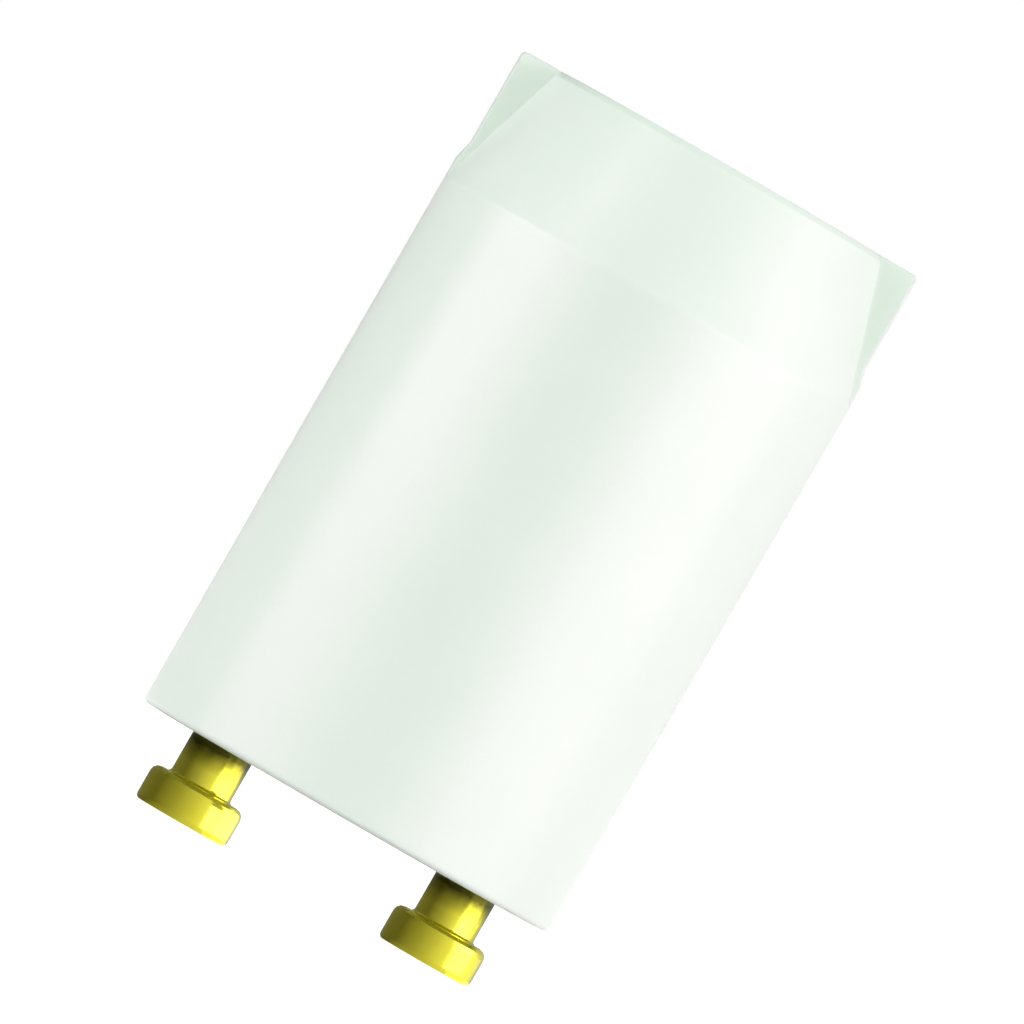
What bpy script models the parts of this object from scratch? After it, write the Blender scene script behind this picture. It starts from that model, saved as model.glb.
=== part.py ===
"""A glow starter for a fluorescent lamp, standing on its two contact pins.

The axis of the can is +Z, and the two pins lie on the X axis. The origin is on the floor, midway between
the pins' end faces. A white moulded can closes over a base disc. The disc carries two turned brass pins,
and inside the can a glow switch and a suppression capacitor are wired across them.
"""

import math

import bmesh
import bpy
from mathutils import Matrix, Vector

MM = 0.001

# Fits between pieces
FIT_GAP = 0.05 * MM
WIRE_GAP = 0.04 * MM
CUT_EXTRA = 1.0 * MM

# Can
CAN_RADIUS = 10.55 * MM
CAN_LENGTH = 34.1 * MM
CAN_WALL = 1.1 * MM
CAN_TOP_WALL = 1.2 * MM
CAN_DRAFT = math.radians(0.4)
CAN_RIM_ROUND = 0.25 * MM
CAN_TOP_ROUND = 0.25 * MM
CAN_INSIDE_ROUND = 0.6 * MM
GATE_RADIUS = 1.3 * MM
GATE_DEPTH = 0.2 * MM

# Finger grip at the closed end of the can
GRIP_HEIGHT = 6.7 * MM
GRIP_TAPER = 2.05 * MM
GRIP_EDGE_BREAK = 0.25 * MM
WING_THICKNESS = 2.4 * MM
WING_SETBACK = 0.22 * MM
WING_STEP_START = 1.0 * MM
WING_STEP_LENGTH = 0.9 * MM

# Mouth of the can, which holds the base disc
MOUTH_WALL = 0.75 * MM
MOUTH_CHAMFER = 0.15 * MM
DISC_RECESS = 0.6 * MM
KEY_WIDTH = 1.6 * MM
KEY_HEIGHT = 0.75 * MM
SNAP_COUNT = 4
SNAP_HEIGHT = 0.28 * MM
SNAP_SWEEP = math.radians(22)
SNAP_ROOT = 0.2 * MM

# Base disc
DISC_THICKNESS = 1.8 * MM
DISC_EDGE_ROUND = 0.15 * MM
BOSS_CLEARANCE = 0.45 * MM
BOSS_HEIGHT = 0.9 * MM
BOSS_ROUND = 0.2 * MM
BARRIER_THICKNESS = 1.0 * MM
BARRIER_HEIGHT = 2.4 * MM
BARRIER_CLEARANCE = 2.65 * MM
BARRIER_ROOT = 0.4 * MM

# Contact pins, with their axes this far inside the can's side, which puts them 12.7 mm apart
PIN_INSET = 4.2 * MM
PIN_PROJECTION = 3.95 * MM
PIN_HEAD_RADIUS = 2.35 * MM
PIN_HEAD_HEIGHT = 1.8 * MM
PIN_HEAD_END_ROUND = 0.25 * MM
PIN_HEAD_BACK_ROUND = 0.4 * MM
PIN_NECK_RADIUS = 1.53 * MM
PIN_NECK_ROOT = 0.18 * MM
PIN_SHANK_RADIUS = 1.35 * MM
PIN_BORE_RADIUS = 0.95 * MM
PIN_BORE_DEPTH = 4.2 * MM
PIN_FLARE_RADIUS = 1.95 * MM
PIN_FLARE_THICKNESS = 0.4 * MM

# Solder that holds the leads in the hollow ends of the pins
SOLDER_RADIUS = 1.6 * MM
SOLDER_HEIGHT = 0.8 * MM
SOLDER_DEPTH = 1.2 * MM

# Leads of the glow switch and the capacitor
LEAD_RADIUS = 0.25 * MM
LEAD_APART = 0.84 * MM
LEAD_STRAIGHT = 0.7 * MM
LEAD_STEPS = 12

# Glow switch
BULB_WALL = 0.55 * MM
BULB_DOME = 3.2 * MM
BULB_TIP_RADIUS = 0.8 * MM
BULB_TIP_LENGTH = 1.5 * MM
BULB_STANDOFF = 4.4 * MM
BULB_HEADROOM = 3.9 * MM
BULB_GAP = 0.35 * MM
BULB_TO_CAPACITOR = 2.2 * MM
STEM_FLARE = 1.0 * MM
STEM_NECK_RADIUS = 1.7 * MM
STEM_NECK_RISE = 1.6 * MM
PRESS_WIDTH = 4.4 * MM
PRESS_THICKNESS = 1.7 * MM
PRESS_HEIGHT = 3.2 * MM
PRESS_ROUND = 0.35 * MM
STEM_LEAD_PITCH = 3.0 * MM
WELD_LENGTH = 1.6 * MM
ELECTRODE_RADIUS = 0.45 * MM
ELECTRODE_SHARE = 0.57
BIMETAL_WIDTH = 2.4 * MM
BIMETAL_THICKNESS = 0.18 * MM
BIMETAL_BEND_RADIUS = 0.55 * MM
BIMETAL_SHORTFALL = 0.2 * MM
CONTACT_OVERLAP = 2.2 * MM

# Suppression capacitor
CAPACITOR_WIDTH_SHARE = 0.52
CAPACITOR_THICKNESS_SHARE = 0.24
CAPACITOR_HEIGHT = 10.5 * MM
CAPACITOR_ROUND = 1.4 * MM
CAPACITOR_STANDOFF = 5.4 * MM
CAPACITOR_GAP = 0.5 * MM
CAPACITOR_LEAD_INSET = 1.5 * MM
CAPACITOR_LEAD_DEPTH = 1.6 * MM
COATING_RUN_LENGTH = 1.0 * MM
COATING_RUN_RADIUS = 0.75 * MM

# Fineness of the round forms
ROUND_SEGMENTS = 72
PIN_SEGMENTS = 40
SMALL_SEGMENTS = 24
HOLE_SEGMENTS = 16
ARC_STEPS = 3
WELD_DISTANCE = 0.0002 * MM
SEAM_DISTANCE = 0.001 * MM
SHARP_ANGLE = math.radians(34)

# Heights and radii that follow from the sizes above
RIM_Z = PIN_PROJECTION
TOP_Z = RIM_Z + CAN_LENGTH
GRIP_Z = TOP_Z - GRIP_HEIGHT
GRIP_TOP_RADIUS = CAN_RADIUS - GRIP_TAPER
GRIP_SLOPE = GRIP_TAPER / GRIP_HEIGHT
WING_STEP_Z = GRIP_Z + WING_STEP_START
CEILING_Z = TOP_Z - CAN_TOP_WALL
DISC_BOTTOM = RIM_Z + DISC_RECESS
DISC_TOP = DISC_BOTTOM + DISC_THICKNESS
SEAT_Z = DISC_TOP + FIT_GAP
MOUTH_RADIUS = CAN_RADIUS - MOUTH_WALL
CAVITY_RADIUS = CAN_RADIUS - CAN_WALL
DISC_RADIUS = MOUTH_RADIUS - FIT_GAP
KEY_RADIUS = CAVITY_RADIUS - KEY_HEIGHT
PIN_X = CAN_RADIUS - PIN_INSET
BOSS_RADIUS = CAVITY_RADIUS - PIN_X - BOSS_CLEARANCE
BARRIER_LENGTH = 2 * (KEY_RADIUS - BARRIER_CLEARANCE)
BOSS_TOP = DISC_TOP + BOSS_HEIGHT
FLARE_BOTTOM = BOSS_TOP + FIT_GAP
FLARE_TOP = FLARE_BOTTOM + PIN_FLARE_THICKNESS
BORE_BOTTOM = FLARE_TOP - PIN_BORE_DEPTH
SOLDER_BOTTOM = FLARE_TOP + FIT_GAP
SOLDER_TOP = SOLDER_BOTTOM + SOLDER_HEIGHT
CAPACITOR_WIDTH = 2 * KEY_RADIUS * CAPACITOR_WIDTH_SHARE
CAPACITOR_THICKNESS = 2 * KEY_RADIUS * CAPACITOR_THICKNESS_SHARE
CAPACITOR_REACH = math.sqrt(KEY_RADIUS**2 - (CAPACITOR_WIDTH / 2) ** 2)
CAPACITOR_Y = -(CAPACITOR_REACH - CAPACITOR_GAP - CAPACITOR_THICKNESS / 2)
CAPACITOR_Z = SOLDER_TOP + CAPACITOR_STANDOFF
CAPACITOR_LEAD_X = CAPACITOR_WIDTH / 2 - CAPACITOR_LEAD_INSET
BULB_FRONT_Y = CAPACITOR_Y + CAPACITOR_THICKNESS / 2 + BULB_TO_CAPACITOR
BULB_RADIUS = (KEY_RADIUS - BULB_GAP - BULB_FRONT_Y) / 2
BULB_Y = BULB_FRONT_Y + BULB_RADIUS
BULB_Z = SOLDER_TOP + BULB_STANDOFF
BULB_LENGTH = CEILING_Z - BULB_HEADROOM - BULB_TIP_LENGTH - BULB_Z
PRESS_Z = BULB_Z + STEM_FLARE + STEM_NECK_RISE
PRESS_TOP = PRESS_Z + PRESS_HEIGHT
STEM_LEAD_X = STEM_LEAD_PITCH / 2
ELECTRODE_LENGTH = (BULB_Z + BULB_LENGTH - BULB_WALL - PRESS_TOP) * ELECTRODE_SHARE
BIMETAL_LENGTH = ELECTRODE_LENGTH - BIMETAL_SHORTFALL
LEAD_HOLE_RADIUS = LEAD_RADIUS + WIRE_GAP
SIDES = {"left": -1, "right": 1}


def clear_scene():
    for existing in list(bpy.data.objects):
        bpy.data.objects.remove(existing, do_unlink=True)


def material(name, colour, roughness, metallic=0.0, transmission=0.0):
    """A plain Principled material of that name."""
    made = bpy.data.materials.new(name)
    made.use_nodes = True
    shader = made.node_tree.nodes["Principled BSDF"]
    shader.inputs["Base Color"].default_value = (*colour, 1.0)
    shader.inputs["Roughness"].default_value = roughness
    shader.inputs["Metallic"].default_value = metallic
    shader.inputs["Transmission Weight"].default_value = transmission
    made.diffuse_color = (*colour, 1.0)
    return made


def add(name, data, surface=None, location=(0, 0, 0)):
    """An object in the scene that shows this mesh or curve."""
    made = bpy.data.objects.new(name, data)
    made.location = location
    bpy.context.scene.collection.objects.link(made)
    if surface and not data.materials:
        data.materials.append(surface)
    return made


def add_tool(name, mesh, location=(0, 0, 0)):
    """A hidden object that only cuts or joins others."""
    made = add(name, mesh, location=location)
    made.hide_render = True
    made.display_type = "WIRE"
    return made


def combine(target, tool, operation):
    """Joins a tool to the target, or cuts it out, with an exact Boolean."""
    modifier = target.modifiers.new(tool.name, "BOOLEAN")
    modifier.operation = operation
    modifier.object = tool
    modifier.solver = "EXACT"


def close_seams(target):
    """Welds the points that a Boolean leaves almost on top of each other."""
    weld = target.modifiers.new("closed_seams", "WELD")
    weld.merge_threshold = SEAM_DISTANCE


def finish_mesh(bm, name):
    """Welds and orients a bmesh, and returns it as a mesh with its round faces shaded smooth."""
    bmesh.ops.remove_doubles(bm, verts=bm.verts, dist=WELD_DISTANCE)
    bmesh.ops.recalc_face_normals(bm, faces=bm.faces)
    mesh = bpy.data.meshes.new(name)
    bm.to_mesh(mesh)
    bm.free()
    mesh.shade_smooth()
    mesh.set_sharp_from_angle(angle=SHARP_ANGLE)
    return mesh


def rounded(corners, steps=ARC_STEPS):
    """The outline through (x, y) or (x, y, radius) corners, with an arc where a radius is given."""
    outline = []
    for index, corner in enumerate(corners):
        here = Vector(corner[:2])
        radius = corner[2] if len(corner) > 2 else 0
        if not radius:
            outline.append(here)
            continue
        before = (Vector(corners[index - 1][:2]) - here).normalized()
        after = (Vector(corners[(index + 1) % len(corners)][:2]) - here).normalized()
        half = before.angle(after) / 2
        centre = here + (before + after).normalized() * radius / math.sin(half)
        start = here + before * radius / math.tan(half) - centre
        end = here + after * radius / math.tan(half) - centre
        turn = math.atan2(start.cross(end), start.dot(end))
        for step in range(steps + 1):
            outline.append(centre + Matrix.Rotation(turn * step / steps, 2) @ start)
    return outline


def is_flat_centre(vert):
    """Whether the vertex is the middle of a flat end, which is better as one face than as a fan."""
    on_axis = vert.co.xy.length < WELD_DISTANCE
    rises = [abs(edge.other_vert(vert).co.z - vert.co.z) for edge in vert.link_edges]
    return on_axis and max(rises) < WELD_DISTANCE


def turned_bmesh(section, segments):
    """A closed (radius, height) section turned once about +Z. Its edge along the axis makes no face."""
    bm = bmesh.new()
    verts = [bm.verts.new((max(radius, 0), 0, height)) for radius, height in section]
    edges = [
        bm.edges.new((a, b))
        for a, b in zip(verts, verts[1:] + verts[:1])
        if max(a.co.x, b.co.x) > WELD_DISTANCE
    ]
    turn = {"cent": (0, 0, 0), "axis": (0, 0, 1), "angle": math.tau, "steps": segments}
    bmesh.ops.spin(bm, geom=verts + edges, use_merge=True, **turn)
    bmesh.ops.remove_doubles(bm, verts=bm.verts, dist=WELD_DISTANCE)
    bmesh.ops.dissolve_verts(bm, verts=[vert for vert in bm.verts if is_flat_centre(vert)])
    return bm


def turned(name, section, segments=ROUND_SEGMENTS):
    return finish_mesh(turned_bmesh(section, segments), name)


def block(name, size, bottom_centre, rounding=0.0):
    """A box that stands on bottom_centre, with all its edges rounded if rounding is given."""
    bm = bmesh.new()
    middle = Vector(bottom_centre) + Vector((0, 0, size[2] / 2))
    place = Matrix.Translation(middle) @ Matrix.Diagonal((*size, 1))
    bmesh.ops.create_cube(bm, size=1, matrix=place)
    if rounding:
        bmesh.ops.bevel(bm, geom=bm.edges, offset=rounding, segments=ARC_STEPS, profile=0.5, affect="EDGES")
    return finish_mesh(bm, name)


def rod_section(radius, bottom, top):
    return [(0, bottom), (radius, bottom), (radius, top), (0, top)]


def cavity_radius(height):
    """The drafted radius of the can's inside at a height below the grip."""
    return CAVITY_RADIUS - (height - SEAT_Z) * math.tan(CAN_DRAFT)


def can_section():
    """Half of the can's section: outer wall, closed end, cavity, and the seat for the base disc."""
    grip_inside = cavity_radius(GRIP_Z)
    ceiling_radius = grip_inside - GRIP_SLOPE * (CEILING_Z - GRIP_Z)
    return rounded(
        [
            (0, TOP_Z - GATE_DEPTH),
            (GATE_RADIUS, TOP_Z - GATE_DEPTH),
            (GATE_RADIUS + GATE_DEPTH, TOP_Z),
            (CAN_RADIUS - WING_SETBACK, TOP_Z, CAN_TOP_ROUND),
            (CAN_RADIUS - WING_SETBACK, WING_STEP_Z + WING_STEP_LENGTH),
            (CAN_RADIUS, WING_STEP_Z),
            (CAN_RADIUS, RIM_Z, CAN_RIM_ROUND),
            (MOUTH_RADIUS + MOUTH_CHAMFER, RIM_Z),
            (MOUTH_RADIUS, RIM_Z + MOUTH_CHAMFER),
            (MOUTH_RADIUS, SEAT_Z),
            (CAVITY_RADIUS, SEAT_Z),
            (grip_inside, GRIP_Z),
            (ceiling_radius, CEILING_Z, CAN_INSIDE_ROUND),
            (0, CEILING_Z),
        ]
    )


def grip_cutter(name, side):
    """Half of the ring that tapers the closed end, cut flat where it meets the two wings."""
    outside = CAN_RADIUS + CUT_EXTRA
    foot = GRIP_Z - CUT_EXTRA / GRIP_SLOPE
    lip = TOP_Z - GRIP_EDGE_BREAK
    section = [
        (outside, foot),
        (outside, TOP_Z + CUT_EXTRA),
        (GRIP_TOP_RADIUS - GRIP_EDGE_BREAK - CUT_EXTRA, TOP_Z + CUT_EXTRA),
        (GRIP_TOP_RADIUS + GRIP_SLOPE * GRIP_EDGE_BREAK, lip),
    ]
    bm = turned_bmesh(section, ROUND_SEGMENTS)
    cut = bmesh.ops.bisect_plane(
        bm,
        geom=bm.verts[:] + bm.edges[:] + bm.faces[:],
        plane_co=(0, side * WING_THICKNESS / 2, 0),
        plane_no=(0, -side, 0),
        clear_outer=True,
    )
    edges = [e for e in cut["geom_cut"] if isinstance(e, bmesh.types.BMEdge)]
    bmesh.ops.holes_fill(bm, edges=edges)
    return add_tool(name, finish_mesh(bm, name))


def snap_mesh(name):
    """The snap beads under the base disc: short arcs of a ramp that points inwards."""
    top = DISC_BOTTOM - FIT_GAP
    peak = MOUTH_RADIUS - SNAP_HEIGHT
    root = MOUTH_RADIUS + SNAP_ROOT
    ramp = [(root, top), (peak, top), (peak, top - SNAP_HEIGHT / 2), (root, RIM_Z + MOUTH_CHAMFER)]
    steps = ROUND_SEGMENTS // 12
    bm = bmesh.new()
    for number in range(SNAP_COUNT):
        first = math.tau * (number + 0.5) / SNAP_COUNT - SNAP_SWEEP / 2
        place = Matrix.Rotation(first, 4, "Z")
        corners = [bm.verts.new(place @ Vector((radius, 0, height))) for radius, height in ramp]
        start = bm.faces.new(corners)
        turn = {"cent": (0, 0, 0), "axis": (0, 0, 1), "angle": SNAP_SWEEP, "steps": steps}
        bmesh.ops.spin(bm, geom=[start], **turn)
    return finish_mesh(bm, name)


def build_can(surface):
    can = add("can", turned("can", can_section()), surface)
    for name, side in (("front_taper", -1), ("back_taper", 1)):
        combine(can, grip_cutter(name, side), "DIFFERENCE")
    key_length = GRIP_Z - DISC_BOTTOM
    key_depth = MOUTH_RADIUS - KEY_RADIUS + SNAP_ROOT
    for name, side in (("front_key", -1), ("back_key", 1)):
        middle = side * (KEY_RADIUS + key_depth / 2)
        key = block(name, (KEY_WIDTH, key_depth, key_length), (0, middle, DISC_BOTTOM))
        combine(can, add_tool(name, key), "UNION")
    combine(can, add_tool("snap_beads", snap_mesh("snap_beads")), "UNION")
    close_seams(can)


def build_base_disc(surface):
    plate = [
        (0, DISC_BOTTOM),
        (DISC_RADIUS, DISC_BOTTOM, DISC_EDGE_ROUND),
        (DISC_RADIUS, DISC_TOP, DISC_EDGE_ROUND),
        (0, DISC_TOP),
    ]
    disc = add("base_disc", turned("base_disc", rounded(plate)), surface)
    boss = [
        (0, DISC_TOP - BARRIER_ROOT),
        (BOSS_RADIUS, DISC_TOP - BARRIER_ROOT),
        (BOSS_RADIUS, BOSS_TOP, BOSS_ROUND),
        (0, BOSS_TOP),
    ]
    boss_mesh = turned("pin_boss", rounded(boss), PIN_SEGMENTS)
    hole_radius = PIN_SHANK_RADIUS + FIT_GAP
    hole = rod_section(hole_radius, DISC_BOTTOM - CUT_EXTRA, BOSS_TOP + CUT_EXTRA)
    hole_mesh = turned("pin_hole", hole, PIN_SEGMENTS)
    barrier_size = (BARRIER_THICKNESS, BARRIER_LENGTH, BARRIER_HEIGHT + BARRIER_ROOT)
    barrier = block("barrier", barrier_size, (0, 0, DISC_TOP - BARRIER_ROOT))
    combine(disc, add_tool("barrier", barrier), "UNION")
    for side, sign in SIDES.items():
        place = (sign * PIN_X, 0, 0)
        combine(disc, add_tool(f"boss_{side}", boss_mesh, place), "UNION")
        combine(disc, add_tool(f"hole_{side}", hole_mesh, place), "DIFFERENCE")
    notch_depth = DISC_RADIUS - KEY_RADIUS + FIT_GAP + CUT_EXTRA
    notch_height = DISC_THICKNESS + 2 * CUT_EXTRA
    for name, side in (("front_notch", -1), ("back_notch", 1)):
        middle = side * (KEY_RADIUS - FIT_GAP + notch_depth / 2)
        size = (KEY_WIDTH + 2 * FIT_GAP, notch_depth, notch_height)
        notch = block(name, size, (0, middle, DISC_BOTTOM - CUT_EXTRA))
        combine(disc, add_tool(name, notch), "DIFFERENCE")
    close_seams(disc)


def pin_section():
    """Half of a pin's section: head, neck, shank through the disc, rolled flare, and the leads' bore."""
    shoulder = DISC_BOTTOM - FIT_GAP
    lip = PIN_FLARE_THICKNESS / 3
    return rounded(
        [
            (0, 0),
            (PIN_HEAD_RADIUS, 0, PIN_HEAD_END_ROUND),
            (PIN_HEAD_RADIUS, PIN_HEAD_HEIGHT, PIN_HEAD_BACK_ROUND),
            (PIN_NECK_RADIUS, PIN_HEAD_HEIGHT, PIN_NECK_ROOT),
            (PIN_NECK_RADIUS, shoulder),
            (PIN_SHANK_RADIUS, shoulder),
            (PIN_SHANK_RADIUS, FLARE_BOTTOM),
            (PIN_FLARE_RADIUS, FLARE_BOTTOM, lip),
            (PIN_FLARE_RADIUS, FLARE_TOP, lip),
            (PIN_BORE_RADIUS, FLARE_TOP, lip),
            (PIN_BORE_RADIUS, BORE_BOTTOM),
            (0, BORE_BOTTOM - PIN_BORE_RADIUS / 2),
        ]
    )


def build_pins(surface):
    mesh = turned("contact_pin", pin_section(), PIN_SEGMENTS)
    for side, sign in SIDES.items():
        add(f"contact_pin_{side}", mesh, surface, (sign * PIN_X, 0, 0))


def build_solder(surface):
    """A dome on each pin's flare, with a plug in the bore and a hole round each lead."""
    plug_radius = PIN_BORE_RADIUS - FIT_GAP
    section = rounded(
        [
            (0, FLARE_TOP - SOLDER_DEPTH),
            (plug_radius, FLARE_TOP - SOLDER_DEPTH),
            (plug_radius, SOLDER_BOTTOM),
            (SOLDER_RADIUS, SOLDER_BOTTOM),
            (SOLDER_RADIUS * 0.7, SOLDER_TOP, SOLDER_HEIGHT * 0.6),
            (0, SOLDER_TOP),
        ]
    )
    mesh = turned("solder_joint", section, SMALL_SEGMENTS)
    hole = rod_section(LEAD_HOLE_RADIUS, BORE_BOTTOM, SOLDER_TOP + CUT_EXTRA)
    hole_mesh = turned("lead_hole", hole, HOLE_SEGMENTS)
    for side, sign in SIDES.items():
        joint = add(f"solder_joint_{side}", mesh, surface, (sign * PIN_X, 0, 0))
        for lead, offset in (("bulb", LEAD_APART / 2), ("capacitor", -LEAD_APART / 2)):
            place = (sign * PIN_X, offset, 0)
            combine(joint, add_tool(f"{lead}_lead_hole_{side}", hole_mesh, place), "DIFFERENCE")
        close_seams(joint)


def lead_route(start, end, end_top):
    """Straight up out of the pin's bore, over in one smooth bend, and straight up to end_top."""
    rise = Vector(start) + Vector((0, 0, SOLDER_TOP + LEAD_STRAIGHT - start[2]))
    arrive = Vector(end)
    pull = Vector((0, 0, (arrive.z - rise.z) * 0.6))
    controls = (rise, rise + pull, arrive - pull, arrive)
    points = [Vector(start)]
    for step in range(LEAD_STEPS + 1):
        t = step / LEAD_STEPS
        shares = ((1 - t) ** 3, 3 * t * (1 - t) ** 2, 3 * t * t * (1 - t), t**3)
        points.append(sum((share * control for share, control in zip(shares, controls)), Vector()))
    points.append(Vector((arrive.x, arrive.y, end_top)))
    return points


def wire(name, route, surface):
    """A round wire along the route, with closed ends."""
    curve = bpy.data.curves.new(name, "CURVE")
    curve.dimensions = "3D"
    curve.bevel_depth = LEAD_RADIUS
    curve.bevel_resolution = 2
    curve.use_fill_caps = True
    spline = curve.splines.new("POLY")
    spline.points.add(len(route) - 1)
    for point, place in zip(spline.points, route):
        point.co = (*place, 1)
    return add(name, curve, surface)


def build_leads(surface):
    foot = BORE_BOTTOM + FIT_GAP
    for side, sign in SIDES.items():
        bulb_start = (sign * PIN_X, LEAD_APART / 2, foot)
        bulb_end = (sign * STEM_LEAD_X, BULB_Y, BULB_Z - LEAD_STRAIGHT)
        route = lead_route(bulb_start, bulb_end, PRESS_TOP + WELD_LENGTH)
        wire(f"bulb_lead_{side}", route, surface)
        capacitor_start = (sign * PIN_X, -LEAD_APART / 2, foot)
        capacitor_end = (
            sign * CAPACITOR_LEAD_X,
            CAPACITOR_Y,
            CAPACITOR_Z - COATING_RUN_LENGTH - LEAD_STRAIGHT,
        )
        lead_top = CAPACITOR_Z + CAPACITOR_LEAD_DEPTH - COATING_RUN_LENGTH - FIT_GAP
        route = lead_route(capacitor_start, capacitor_end, lead_top)
        wire(f"capacitor_lead_{side}", route, surface)


def bulb_section():
    """Half of the envelope's section: straight wall, dome and sealed tip, outside and inside."""
    shoulder = BULB_Z + BULB_LENGTH - BULB_DOME
    tip_foot = BULB_Z + BULB_LENGTH
    inner_radius = BULB_RADIUS - BULB_WALL
    outside = [(BULB_RADIUS, BULB_Z)]
    inside = [(inner_radius, BULB_Z)]
    steps = 3 * ARC_STEPS
    last = math.acos(BULB_TIP_RADIUS / BULB_RADIUS)
    for step in range(steps + 1):
        angle = last * step / steps
        across, up = math.cos(angle), math.sin(angle) / math.sin(last)
        outside.append((BULB_RADIUS * across, shoulder + BULB_DOME * up))
        full_turn = math.pi / 2 * step / steps
        rise = (BULB_DOME - BULB_WALL) * math.sin(full_turn)
        inside.append((inner_radius * math.cos(full_turn), shoulder + rise))
    tip = [(BULB_TIP_RADIUS * 0.75, tip_foot + BULB_TIP_LENGTH * 0.6), (0, tip_foot + BULB_TIP_LENGTH)]
    return outside + tip + inside[::-1]


def build_glow_bulb(surface):
    mesh = turned("glow_bulb", bulb_section(), PIN_SEGMENTS)
    add("glow_bulb", mesh, surface, (0, BULB_Y, 0))


def build_glow_stem(surface):
    """The glass stem that closes the bulb: a flared foot, and a flat press round the two leads."""
    foot_radius = BULB_RADIUS - BULB_WALL - FIT_GAP
    foot_top = BULB_Z + STEM_FLARE
    section = rounded(
        [
            (0, BULB_Z),
            (foot_radius, BULB_Z),
            (foot_radius, foot_top),
            (STEM_NECK_RADIUS, foot_top + STEM_NECK_RISE * 0.5, STEM_NECK_RISE * 0.4),
            (STEM_NECK_RADIUS, PRESS_Z + PRESS_ROUND),
            (0, PRESS_Z + PRESS_ROUND),
        ]
    )
    stem = add("glow_stem", turned("glow_stem", section, PIN_SEGMENTS), surface, (0, BULB_Y, 0))
    press_size = (PRESS_WIDTH, PRESS_THICKNESS, PRESS_TOP - foot_top)
    press = block("press", press_size, (0, 0, foot_top), PRESS_ROUND)
    combine(stem, add_tool("press", press, (0, BULB_Y, 0)), "UNION")
    hole = rod_section(LEAD_HOLE_RADIUS, BULB_Z - CUT_EXTRA, PRESS_TOP + CUT_EXTRA)
    hole_mesh = turned("stem_hole", hole, HOLE_SEGMENTS)
    for side, sign in SIDES.items():
        place = (sign * STEM_LEAD_X, BULB_Y, 0)
        combine(stem, add_tool(f"stem_hole_{side}", hole_mesh, place), "DIFFERENCE")
    close_seams(stem)


def build_electrode(surface):
    """The fixed electrode: a round-topped rod welded beside the left lead."""
    bottom = PRESS_TOP + WIRE_GAP
    top = bottom + ELECTRODE_LENGTH
    section = rounded(
        [
            (0, bottom),
            (ELECTRODE_RADIUS, bottom),
            (ELECTRODE_RADIUS, top, ELECTRODE_RADIUS * 0.9),
            (0, top),
        ]
    )
    mesh = turned("fixed_electrode", section, HOLE_SEGMENTS)
    add("fixed_electrode", mesh, surface, (electrode_x(), BULB_Y, 0))


def electrode_x():
    return -STEM_LEAD_X + LEAD_RADIUS + WIRE_GAP + ELECTRODE_RADIUS


def build_bimetal(surface):
    """The bimetal strip, welded beside the right lead and bent over towards the fixed electrode."""
    fixed_x = STEM_LEAD_X - LEAD_RADIUS - WIRE_GAP - BIMETAL_THICKNESS / 2
    bottom = PRESS_TOP + WIRE_GAP
    bend_z = bottom + BIMETAL_LENGTH - BIMETAL_BEND_RADIUS
    free_end = bottom + ELECTRODE_LENGTH - CONTACT_OVERLAP
    path = [(fixed_x, bottom)]
    steps = 3 * ARC_STEPS
    for step in range(steps + 1):
        angle = math.pi * step / steps
        across = BIMETAL_BEND_RADIUS * (1 - math.cos(angle))
        path.append((fixed_x - across, bend_z + BIMETAL_BEND_RADIUS * math.sin(angle)))
    path.append((fixed_x - 2 * BIMETAL_BEND_RADIUS, free_end))
    bm = bmesh.new()
    verts = [bm.verts.new((x, -BIMETAL_WIDTH / 2, z)) for x, z in path]
    edges = [bm.edges.new(pair) for pair in zip(verts, verts[1:])]
    widened = bmesh.ops.extrude_edge_only(bm, edges=edges)["geom"]
    moved = [element for element in widened if isinstance(element, bmesh.types.BMVert)]
    bmesh.ops.translate(bm, verts=moved, vec=(0, BIMETAL_WIDTH, 0))
    strip = add("bimetal_strip", finish_mesh(bm, "bimetal_strip"), surface, (0, BULB_Y, 0))
    thicken = strip.modifiers.new("thickness", "SOLIDIFY")
    thicken.thickness = BIMETAL_THICKNESS
    thicken.offset = 0


def build_capacitor(surface):
    """A dipped film capacitor, with the coating run a little way down each lead."""
    size = (CAPACITOR_WIDTH, CAPACITOR_THICKNESS, CAPACITOR_HEIGHT)
    body_mesh = block("capacitor_body", size, (0, 0, 0), CAPACITOR_ROUND)
    body = add("capacitor_body", body_mesh, surface, (0, CAPACITOR_Y, CAPACITOR_Z))
    run = [
        (0, -COATING_RUN_LENGTH),
        (LEAD_RADIUS * 2, -COATING_RUN_LENGTH),
        (COATING_RUN_RADIUS, 0),
        (COATING_RUN_RADIUS, CAPACITOR_ROUND),
        (0, CAPACITOR_ROUND),
    ]
    run_mesh = turned("coating_run", run, HOLE_SEGMENTS)
    hole_top = CAPACITOR_LEAD_DEPTH - COATING_RUN_LENGTH
    hole = rod_section(LEAD_HOLE_RADIUS, -COATING_RUN_LENGTH - CUT_EXTRA, hole_top)
    hole_mesh = turned("capacitor_hole", hole, HOLE_SEGMENTS)
    for side, sign in SIDES.items():
        place = (sign * CAPACITOR_LEAD_X, CAPACITOR_Y, CAPACITOR_Z)
        combine(body, add_tool(f"coating_run_{side}", run_mesh, place), "UNION")
        combine(body, add_tool(f"capacitor_hole_{side}", hole_mesh, place), "DIFFERENCE")
    close_seams(body)


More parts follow.
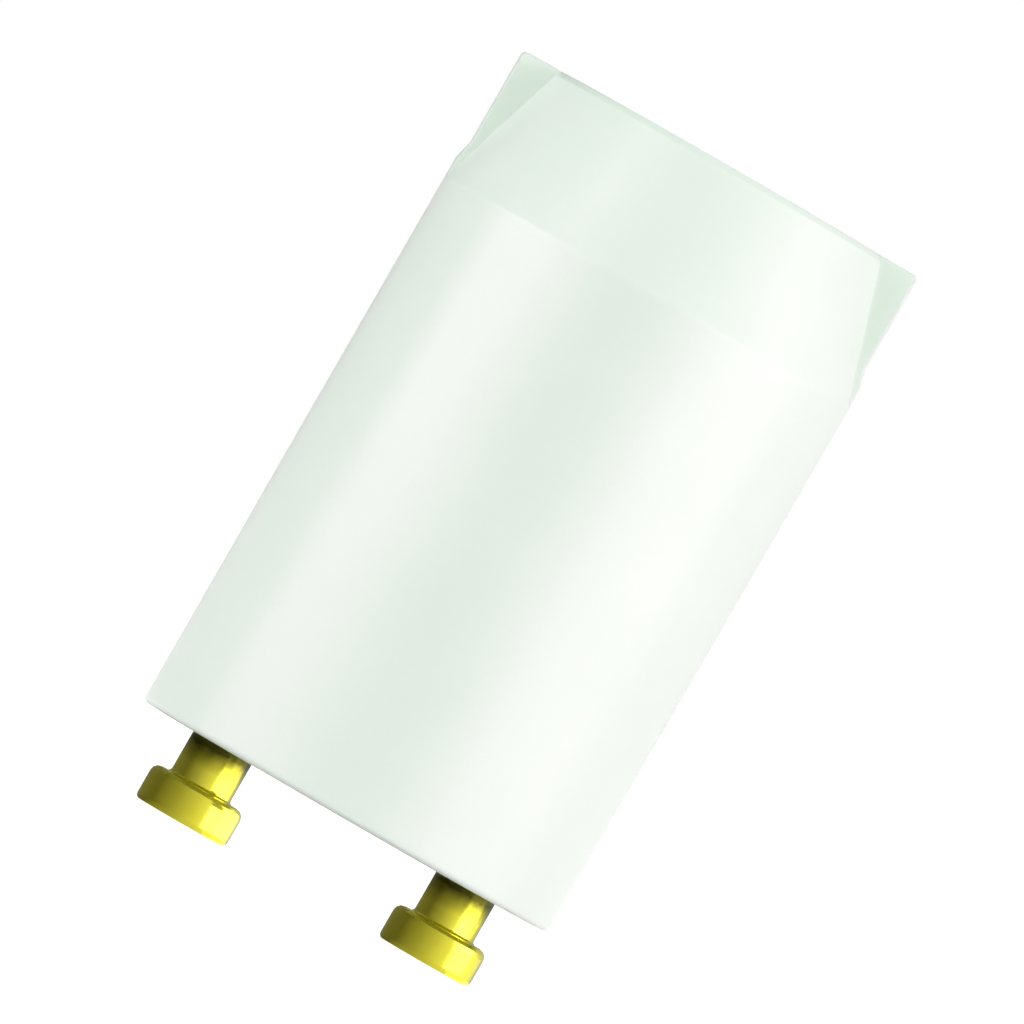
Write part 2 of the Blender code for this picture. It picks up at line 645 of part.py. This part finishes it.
def build_starter():
    clear_scene()
    build_can(material("white_polycarbonate", (0.80, 0.90, 0.82), 0.4))
    build_base_disc(material("base_plastic", (0.82, 0.84, 0.80), 0.5))
    build_pins(material("pin_brass", (0.78, 0.62, 0.16), 0.25, metallic=1.0))
    build_solder(material("solder", (0.62, 0.62, 0.60), 0.35, metallic=1.0))
    build_leads(material("tinned_wire", (0.66, 0.62, 0.56), 0.3, metallic=1.0))
    glass = material("clear_glass", (0.92, 0.96, 0.94), 0.03, transmission=1.0)
    build_glow_bulb(glass)
    build_glow_stem(glass)
    build_electrode(material("electrode_nickel", (0.50, 0.49, 0.46), 0.45, metallic=1.0))
    build_bimetal(material("bimetal", (0.58, 0.54, 0.48), 0.3, metallic=1.0))
    build_capacitor(material("capacitor_coating", (0.42, 0.20, 0.07), 0.3))


build_starter()
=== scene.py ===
"""Looks, lights and camera for the fluorescent starter."""

import math

import bpy
from mathutils import Matrix, Vector

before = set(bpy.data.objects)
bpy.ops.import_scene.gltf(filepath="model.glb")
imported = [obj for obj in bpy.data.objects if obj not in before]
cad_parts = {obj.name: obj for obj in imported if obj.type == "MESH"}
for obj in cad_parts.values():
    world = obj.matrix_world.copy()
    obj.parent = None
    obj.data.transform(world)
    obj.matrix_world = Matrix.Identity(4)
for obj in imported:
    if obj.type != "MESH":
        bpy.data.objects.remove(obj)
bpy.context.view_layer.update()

MM = 0.001

# Photograph: its width and scale in pixels, the place of the can's middle, and the can's lean
PICTURE = 1024
PIXELS_PER_MM = 22.09
CAN_MIDDLE_PIXEL = (532.9, 490.2)
CAN_MIDDLE_Z = 21.0 * MM
LEAN = math.radians(29.95)

# Camera: its distance in metres, its sensor in millimetres, and what it sees from and to, in metres
CAMERA_DISTANCE = 1.5
SENSOR = 36.0
CLIP_START = 0.01
CLIP_END = 20

# Solids that are named more than once
PINS = ("contact_pin_left", "contact_pin_right")
PIN_X = 6.35 * MM
TURNED = ("can", "base_disc", *PINS)

# Smooth shading: the facets' angles that are shaded over, and how close corners lie that are one
TURNED_FOLD = 13
OTHER_FOLD = 32
WELD = 0.001 * MM

# Materials: pairs of colours that the noise runs between, in linear light.
# The disc's alone are as a picture shows them, from 0 to 255
CAN_WHITES = ((0.800, 0.900, 0.815), (0.776, 0.884, 0.792))
DISC_WHITES_AS_SEEN = ((236, 238, 232), (230, 233, 226))
BRASSES = ((0.87, 0.80, 0.075), (0.80, 0.72, 0.05))
# The neck's painted shade: the colour the brass darkens to, and the heights where it starts and
# where it is full
NECK_PAINTED_SHADE = (0.07, 0.065, 0.01)
NECK_SHADE_START = 2.6 * MM
NECK_SHADE_FULL = 3.7 * MM
SOLDERS = ((0.62, 0.62, 0.6), (0.5, 0.5, 0.49))
TINNED_WIRES = ((0.7, 0.66, 0.6), (0.55, 0.52, 0.48))
NICKELS = ((0.5, 0.49, 0.46), (0.4, 0.39, 0.37))
BIMETALS = ((0.6, 0.56, 0.5), (0.5, 0.46, 0.4))
RESINS = ((0.42, 0.17, 0.05), (0.33, 0.12, 0.035))
GLASS = (0.95, 0.98, 0.96)
POLYCARBONATE_IOR = 1.585
GLASS_IOR = 1.5
BEVEL_SAMPLES = 6

# Stage: the world's light from level and from above, and the floor's colour, glow and reach
WORLD_LEVEL = (0.87, 1.15, 0.95)
WORLD_ZENITH = (0.27, 0.36, 0.30)
WHITE = (1, 1, 1)
FLOOR_GREY = (0.5, 0.5, 0.5)
FLOOR_GLOW = 0.86
FLOOR_REACH = 4.0

# Azimuths are in degrees from the photograph's side towards the right pin, and lengths in metres.
# Soft boxes: azimuth, width, lowest and highest edge above the can's middle, and radiance
LAMP_COLOUR = (1.21, 0.845, 1.08)
LAMP_DISTANCE = 0.6
BACK_BOXES = (
    ("back_left_box", -158, 0.30, -0.25, 0.25, 2.6),
    ("back_right_box", 158, 0.30, -0.25, 0.25, 2.6),
)
CAN_BOXES = (
    ("left_box", -68, 0.52, -0.25, 0.18, 3.6),
    ("left_fill", -36, 0.20, -0.25, 0.18, 1.25),
    ("right_fill", 25, 0.21, -0.25, 0.28, 0.70),
    ("right_box", 50, 0.32, -0.25, 0.26, 3.3),
    ("side_box", 80, 0.32, -0.25, 0.26, 2.9),
    ("left_upper_box", -54, 0.18, 0.34, 0.54, 3.0),
    ("right_upper_box", 76, 0.34, 0.34, 0.54, 2.1),
)
PIN_BOX = ("pin_lamp", 67, 0.84, -0.25, 0.30, 5.0)

# Grey cards: start and end azimuth, and the greys at the start and the end
CAN_CARDS = (
    ("card_left", -175, -86, (0.1, 0.7)),
    ("card_front", -24, 14, (0.3, 0.3)),
    ("card_right", 128, 175, (0.7, 0.7)),
)
# The cards round each pin stay open towards its lamp
PIN_CARDS = (
    (-180, -140, (0.7, 0.2)),
    (-140, -60, (0.2, 0.12)),
    (-60, -20, (0.12, 0.38)),
    (-20, 31, (0.38, 0.95)),
    (106, 150, (0.7, 0.3)),
    (150, 180, (0.3, 0.7)),
)
# One bright card keeps the right pin out of the left pin's reflections
BEFORE_RIGHT_PIN = ("card_before_right_pin", 56, 106, (4.0, 2.0))
CARD_STEPS = 12

# The two rims of a card: distance from the axis that it stands round, and height.
# A pin has an upright wall round it, and a sheet that lies at the wall's foot
CAN_WALL = ((0.9, 0.0), (0.9, 0.9))
PIN_WALL = ((3.6 * MM, 0.02 * MM), (3.6 * MM, 3.8 * MM))
PIN_SHEET = ((1.9 * MM, 0.02 * MM), (3.6 * MM, 0.02 * MM))

# Blender's numbers for the sockets of a Mix node that mixes colours
MIX_SHARE, MIX_FIRST, MIX_SECOND = 0, 6, 7
MIX_RESULT = 2
NODE_SPACING = 200


def make_camera():
    """A long lens level with the can's middle, rolled so that the can leans as photographed."""
    right = Vector((math.cos(LEAN), 0, math.sin(LEAN)))
    up = Vector((-math.sin(LEAN), 0, math.cos(LEAN)))
    back = Vector((0, -1, 0))
    shift_right = (CAN_MIDDLE_PIXEL[0] - PICTURE / 2) / PIXELS_PER_MM * MM
    shift_up = (PICTURE / 2 - CAN_MIDDLE_PIXEL[1]) / PIXELS_PER_MM * MM
    aim = Vector((0, 0, CAN_MIDDLE_Z)) - right * shift_right - up * shift_up
    data = bpy.data.cameras.new("camera")
    data.sensor_width = SENSOR
    data.lens = SENSOR * CAMERA_DISTANCE / (PICTURE / PIXELS_PER_MM * MM)
    data.clip_start = CLIP_START
    data.clip_end = CLIP_END
    data.dof.use_dof = False
    camera = bpy.data.objects.new("camera", data)
    bpy.context.scene.collection.objects.link(camera)
    rotation = Matrix((right, up, back)).transposed().to_4x4()
    camera.matrix_world = Matrix.Translation(aim + back * CAMERA_DISTANCE) @ rotation
    bpy.context.scene.camera = camera


class Nodes:
    """A short way to write a node tree."""

    def __init__(self, tree):
        self.tree = tree
        self.count = 0

    def new(self, kind, inputs=None, **settings):
        """Adds a node with the settings and inputs given."""
        node = self.tree.nodes.new(kind)
        node.location = (NODE_SPACING * self.count, 0)
        self.count += 1
        for key, value in settings.items():
            setattr(node, key, value)
        self.set(node, inputs or {})
        return node

    def set(self, node, inputs):
        """Links each input to a socket, or sets its number, vector or colour of three numbers."""
        for key, value in inputs.items():
            socket = node.inputs[key]
            if isinstance(value, bpy.types.NodeSocket):
                self.tree.links.new(value, socket)
            elif socket.type == "RGBA":
                socket.default_value = (*value, 1)
            else:
                socket.default_value = value


def empty_tree(owner):
    """The node tree of a material or world, emptied, as the helper that adds nodes to it."""
    owner.use_nodes = True
    owner.node_tree.nodes.clear()
    return Nodes(owner.node_tree)


def fresh_material(name):
    """A material with a Principled shader alone, the helper that adds its nodes, and the shader."""
    made = bpy.data.materials.new(name)
    nodes = empty_tree(made)
    shader = nodes.new("ShaderNodeBsdfPrincipled")
    nodes.new("ShaderNodeOutputMaterial", {"Surface": shader.outputs["BSDF"]})
    return made, nodes, shader


def linear(srgb):
    """A colour as it is read off a picture, in linear light."""
    shares = [channel / 255 for channel in srgb]
    return [c / 12.92 if c <= 0.04045 else ((c + 0.055) / 1.055) ** 2.4 for c in shares]


def surface_position(nodes):
    """The place of each point of the surface."""
    return nodes.new("ShaderNodeNewGeometry").outputs["Position"]


def along_z(nodes, vector):
    """The upright part of a vector."""
    return nodes.new("ShaderNodeSeparateXYZ", {"Vector": vector}).outputs["Z"]


def noise(nodes, position, size, detail=3.0, roughness=0.5):
    """Noise with features of a size in metres."""
    inputs = {"Vector": position, "Scale": 1 / size, "Detail": detail, "Roughness": roughness}
    return nodes.new("ShaderNodeTexNoise", inputs).outputs["Fac"]


def rings(nodes, height, pitch):
    """Noise that changes with height alone, as the lathe leaves it."""
    inputs = {"W": height, "Scale": 1 / pitch, "Detail": 3.0}
    return nodes.new("ShaderNodeTexNoise", inputs, noise_dimensions="1D").outputs["Fac"]


def spread(nodes, value, low, high, start=0.3, end=0.7):
    """Runs from low to high as the value goes from start to end, by default a noise's middle."""
    inputs = {"Value": value, "From Min": start, "From Max": end, "To Min": low, "To Max": high}
    return nodes.new("ShaderNodeMapRange", inputs).outputs["Result"]


def math_node(nodes, operation, first, second):
    """The sum, product or larger one of two values."""
    return nodes.new("ShaderNodeMath", {0: first, 1: second}, operation=operation).outputs[0]


def blend(nodes, share, first, second):
    """Runs from the first colour to the second as the share goes from 0 to 1."""
    inputs = {MIX_SHARE: share, MIX_FIRST: first, MIX_SECOND: second}
    return nodes.new("ShaderNodeMix", inputs, data_type="RGBA").outputs[MIX_RESULT]


def bumps(nodes, height, strength, depth, edge=None):
    """A normal with bumps from a noise, over edges rounded by a radius where one is given."""
    inputs = {"Height": height, "Strength": strength, "Distance": depth}
    if edge:
        rounded = nodes.new("ShaderNodeBevel", {"Radius": edge}, samples=BEVEL_SAMPLES)
        inputs["Normal"] = rounded.outputs["Normal"]
    return nodes.new("ShaderNodeBump", inputs).outputs["Normal"]


def moulded_plastic(name, colours, roughness, subsurface):
    """Moulded plastic: fine grain, a slight flow mottle, rounded edges and a duller flat top."""
    made, nodes, shader = fresh_material(name)
    surface = nodes.new("ShaderNodeNewGeometry")
    position = surface.outputs["Position"]
    upward = along_z(nodes, surface.outputs["Normal"])
    mottle = noise(nodes, position, size=7 * MM, detail=2)
    grain = noise(nodes, position, size=0.35 * MM)
    sheen = spread(nodes, grain, low=roughness - 0.02, high=roughness + 0.02)
    top = spread(nodes, upward, low=0, high=0.26, start=0.8, end=0.95)
    inputs = {
        "Base Color": blend(nodes, spread(nodes, mottle, 0, 1), *colours),
        "Roughness": math_node(nodes, "ADD", sheen, top),
        "Normal": bumps(nodes, grain, strength=0.1, depth=0.01 * MM, edge=0.16 * MM),
        "Subsurface Weight": subsurface,
        "Subsurface Radius": (0.9, 1.0, 0.9),
        "Subsurface Scale": 0.6 * MM,
        "IOR": POLYCARBONATE_IOR,
    }
    nodes.set(shader, inputs)
    return made


def turned_brass(name):
    """Bright turned brass: fine rings, and painted shade that darkens the neck up towards the disc.
    """
    made, nodes, shader = fresh_material(name)
    position = surface_position(nodes)
    height = along_z(nodes, position)
    film = noise(nodes, position, size=1.6 * MM, detail=4, roughness=0.6)
    bright = blend(nodes, spread(nodes, film, 0, 1), *BRASSES)
    # Painted shade: the neck darkens up towards the disc that shades it, made uneven by the noise
    towards_disc = spread(nodes, height, 0, 1, start=NECK_SHADE_START, end=NECK_SHADE_FULL)
    neck_shade = math_node(nodes, "MULTIPLY", towards_disc, spread(nodes, film, low=0.8, high=1.3))
    ridges = rings(nodes, height, pitch=0.09 * MM)
    inputs = {
        "Base Color": blend(nodes, neck_shade, bright, NECK_PAINTED_SHADE),
        "Metallic": 1.0,
        "Roughness": spread(nodes, film, low=0.21, high=0.26),
        "Normal": bumps(nodes, ridges, strength=0.12, depth=0.006 * MM, edge=0.08 * MM),
    }
    nodes.set(shader, inputs)
    return made


def plain_metal(name, colours, roughness):
    """Drawn or cast metal with an uneven dull film."""
    made, nodes, shader = fresh_material(name)
    film = noise(nodes, surface_position(nodes), size=0.3 * MM, detail=4)
    inputs = {
        "Base Color": blend(nodes, spread(nodes, film, 0, 1), *colours),
        "Metallic": 1.0,
        "Roughness": spread(nodes, film, low=roughness - 0.06, high=roughness + 0.1),
        "Normal": bumps(nodes, film, strength=0.15, depth=0.02 * MM),
    }
    nodes.set(shader, inputs)
    return made


def clear_glass(name):
    """Drawn glass with long shallow ripples."""
    made, nodes, shader = fresh_material(name)
    ripple = noise(nodes, surface_position(nodes), size=3 * MM, detail=1)
    inputs = {
        "Base Color": GLASS,
        "Roughness": spread(nodes, ripple, low=0.01, high=0.05),
        "Normal": bumps(nodes, ripple, strength=0.1, depth=0.05 * MM),
        "Transmission Weight": 1.0,
        "IOR": GLASS_IOR,
    }
    nodes.set(shader, inputs)
    return made


def dipped_resin(name):
    """The glossy dimpled coat of a dipped capacitor."""
    made, nodes, shader = fresh_material(name)
    dimple = noise(nodes, surface_position(nodes), size=0.5 * MM)
    inputs = {
        "Base Color": blend(nodes, spread(nodes, dimple, 0, 1), *RESINS),
        "Roughness": spread(nodes, dimple, low=0.22, high=0.34),
        "Normal": bumps(nodes, dimple, strength=0.3, depth=0.04 * MM),
    }
    nodes.set(shader, inputs)
    return made


def dress(names, finish):
    """Gives the solids a material."""
    for name in names:
        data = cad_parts[name].data
        data.materials.clear()
        data.materials.append(finish)


def dress_all():
    """Gives every solid its material."""
    can = moulded_plastic("white_polycarbonate", CAN_WHITES, roughness=0.32, subsurface=0.25)
    dress(["can"], can)
    disc_whites = [linear(colour) for colour in DISC_WHITES_AS_SEEN]
    disc = moulded_plastic("base_plastic", disc_whites, roughness=0.5, subsurface=0.1)
    dress(["base_disc"], disc)
    dress(PINS, turned_brass("pin_brass"))
    solder = plain_metal("solder", SOLDERS, roughness=0.35)
    dress(["solder_joint_left", "solder_joint_right"], solder)
    leads = [f"{part}_lead_{side}" for part in ("bulb", "capacitor") for side in ("left", "right")]
    dress(leads, plain_metal("tinned_wire", TINNED_WIRES, roughness=0.3))
    dress(["glow_bulb", "glow_stem"], clear_glass("clear_glass"))
    dress(["fixed_electrode"], plain_metal("electrode_nickel", NICKELS, roughness=0.45))
    dress(["bimetal_strip"], plain_metal("bimetal", BIMETALS, roughness=0.3))
    dress(["capacitor_body"], dipped_resin("capacitor_coating"))


def smooth_shading(angle):
    """Node group that joins a solid's facets, and shades over folds of less than the angle."""
    tree = bpy.data.node_groups.new(f"smooth_under_{angle}", "GeometryNodeTree")
    tree.interface.new_socket("Geometry", in_out="INPUT", socket_type="NodeSocketGeometry")
    tree.interface.new_socket("Geometry", in_out="OUTPUT", socket_type="NodeSocketGeometry")
    nodes = Nodes(tree)
    given = nodes.new("NodeGroupInput").outputs["Geometry"]
    joined = nodes.new("GeometryNodeMergeByDistance", {"Geometry": given, "Distance": WELD})
    fold = nodes.new("GeometryNodeInputMeshEdgeAngle").outputs["Unsigned Angle"]
    limit = {"A": fold, "B": math.radians(angle)}
    sharp = nodes.new("FunctionNodeCompare", limit, operation="GREATER_THAN").outputs["Result"]
    inputs = {"Mesh": joined.outputs["Geometry"], "Remove Custom": True, "Edge Sharpness": sharp}
    shaded = nodes.new("GeometryNodeSetMeshNormal", inputs, mode="SHARPNESS")
    nodes.new("NodeGroupOutput", {"Geometry": shaded.outputs["Mesh"]})
    return tree


def shade(names, angle):
    """Shades the solids smooth, but for edges that fold by more than the angle."""
    group = smooth_shading(angle)
    for name in names:
        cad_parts[name].modifiers.new("smooth", "NODES").node_group = group


def seen_directly(nodes):
    """1 where the camera, a reflection or a refraction sees a surface, 0 where it lights others."""
    rays = nodes.new("ShaderNodeLightPath").outputs
    seen = math_node(nodes, "MAXIMUM", rays["Is Camera Ray"], rays["Is Glossy Ray"])
    return math_node(nodes, "MAXIMUM", seen, rays["Is Transmission Ray"])


def stage_piece(name, points, faces, finish):
    """A mesh of the stage, which isn't part of the object."""
    mesh = bpy.data.meshes.new(name)
    mesh.from_pydata(points, [], faces)
    mesh.materials.append(finish)
    piece = bpy.data.objects.new(name, mesh)
    bpy.context.scene.collection.objects.link(piece)
    return piece


def paper_floor():
    """A wide pale floor. Seen directly it is white paper that still takes the object's shadow."""
    made, nodes, shader = fresh_material("floor_paper")
    inputs = {
        "Base Color": FLOOR_GREY,
        "Roughness": 0.9,
        "Specular IOR Level": 0.0,
        "Emission Color": WHITE,
        "Emission Strength": spread(nodes, seen_directly(nodes), 0, FLOOR_GLOW, start=0, end=1),
    }
    nodes.set(shader, inputs)
    signs = ((-1, -1), (1, -1), (1, 1), (-1, 1))
    corners = [(x * FLOOR_REACH, y * FLOOR_REACH, 0) for x, y in signs]
    stage_piece("floor", corners, [(0, 1, 2, 3)], made)


def white_world():
    """Even light, less of it from above, which is plain white where it is seen directly."""
    world = bpy.data.worlds.new("world")
    bpy.context.scene.world = world
    nodes = empty_tree(world)
    rise = along_z(nodes, nodes.new("ShaderNodeTexCoord").outputs["Generated"])
    given = blend(nodes, spread(nodes, rise, 0, 1, start=0.1, end=0.9), WORLD_LEVEL, WORLD_ZENITH)
    colour = blend(nodes, seen_directly(nodes), given, WHITE)
    background = nodes.new("ShaderNodeBackground", {"Color": colour, "Strength": 1.0})
    nodes.new("ShaderNodeOutputWorld", {"Surface": background.outputs["Background"]})


def around(azimuth, distance, height):
    """A point at an azimuth round the can's axis."""
    turn = math.radians(azimuth)
    return Vector((math.sin(turn) * distance, -math.cos(turn) * distance, height))


def soft_box(name, azimuth, width, low, high, radiance, colour=WHITE):
    """A soft box that stands round the can and faces its axis."""
    height = high - low
    data = bpy.data.lights.new(name, "AREA")
    data.shape = "RECTANGLE"
    data.size = width
    data.size_y = height
    data.energy = radiance * math.pi * width * height
    data.color = colour
    lamp = bpy.data.objects.new(name, data)
    bpy.context.scene.collection.objects.link(lamp)
    middle = (low + high) / 2 + CAN_MIDDLE_Z
    lamp.location = around(azimuth, LAMP_DISTANCE, middle)
    towards_axis = Vector((0, 0, middle)) - lamp.location
    lamp.rotation_euler = towards_axis.to_track_quat("-Z", "Y").to_euler()
    lamp.visible_camera = False
    return lamp


def link_lamps(lamps, names, state):
    """Leaves the named solids out of what the lamps light, or makes them all that they light."""
    lit = bpy.data.collections.new(f"lamps_{state.lower()}")
    for name in names:
        lit.objects.link(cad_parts[name])
    for entry in lit.collection_objects:
        entry.light_linking.link_state = state
    for lamp in lamps:
        lamp.light_linking.receiver_collection = lit


def lights():
    """Soft boxes for the can, two of which only light its back, and one for the pins alone."""
    back_lamps = [soft_box(*box, LAMP_COLOUR) for box in BACK_BOXES]
    for lamp in back_lamps:
        lamp.visible_glossy = False
    can_lamps = [soft_box(*box, LAMP_COLOUR) for box in CAN_BOXES]
    pin_lamp = soft_box(*PIN_BOX)
    link_lamps(back_lamps + can_lamps, PINS, "EXCLUDE")
    link_lamps([pin_lamp], PINS, "INCLUDE")


def card_material(name):
    """Glows in the card's own grey towards the axis, and is clear from outside."""
    made = bpy.data.materials.new(name)
    nodes = empty_tree(made)
    tone = nodes.new("ShaderNodeAttribute", attribute_name="grey").outputs["Fac"]
    inside = nodes.new("ShaderNodeEmission", {"Strength": tone}).outputs["Emission"]
    outside = nodes.new("ShaderNodeBsdfTransparent").outputs["BSDF"]
    from_outside = nodes.new("ShaderNodeNewGeometry").outputs["Backfacing"]
    mixed = nodes.new("ShaderNodeMixShader", {0: from_outside, 1: inside, 2: outside})
    nodes.new("ShaderNodeOutputMaterial", {"Surface": mixed.outputs["Shader"]})
    return made


def grey_card(name, start, end, greys, rims=CAN_WALL, middle=0.0):
    """An arc of card that only reflections see, its grey running from one end to the other."""
    shares = [step / CARD_STEPS for step in range(CARD_STEPS + 1)]
    turns = [start + (end - start) * share for share in shares]
    points = [around(turn, *rim) + Vector((middle, 0, 0)) for turn in turns for rim in rims]
    faces = [(2 * k + 1, 2 * k + 3, 2 * k + 2, 2 * k) for k in range(CARD_STEPS)]
    card = stage_piece(name, points, faces, card_material(name))
    tones = [greys[0] + (greys[1] - greys[0]) * share for share in shares for _ in rims]
    card.data.attributes.new("grey", "FLOAT", "POINT").data.foreach_set("value", tones)
    card.visible_camera = False
    card.visible_diffuse = False
    card.visible_transmission = False
    card.visible_shadow = False


def cards():
    """Grey cards round the can for its streaks, and round each pin for the brass's dark sides."""
    for card in CAN_CARDS:
        grey_card(*card)
    for pin, middle in zip(PINS, (-PIN_X, PIN_X)):
        for start, end, greys in PIN_CARDS:
            # The names count degrees from the back, so that they hold no sign
            grey_card(f"{pin}_wall_{start + 180}", start, end, greys, PIN_WALL, middle)
            grey_card(f"{pin}_sheet_{start + 180}", start, end, greys, PIN_SHEET, middle)
    grey_card(*BEFORE_RIGHT_PIN, PIN_WALL, -PIN_X)


bpy.context.scene.view_settings.view_transform = "Standard"
make_camera()
dress_all()
shade(TURNED, TURNED_FOLD)
shade([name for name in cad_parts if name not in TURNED], OTHER_FOLD)
paper_floor()
white_world()
lights()
cards()
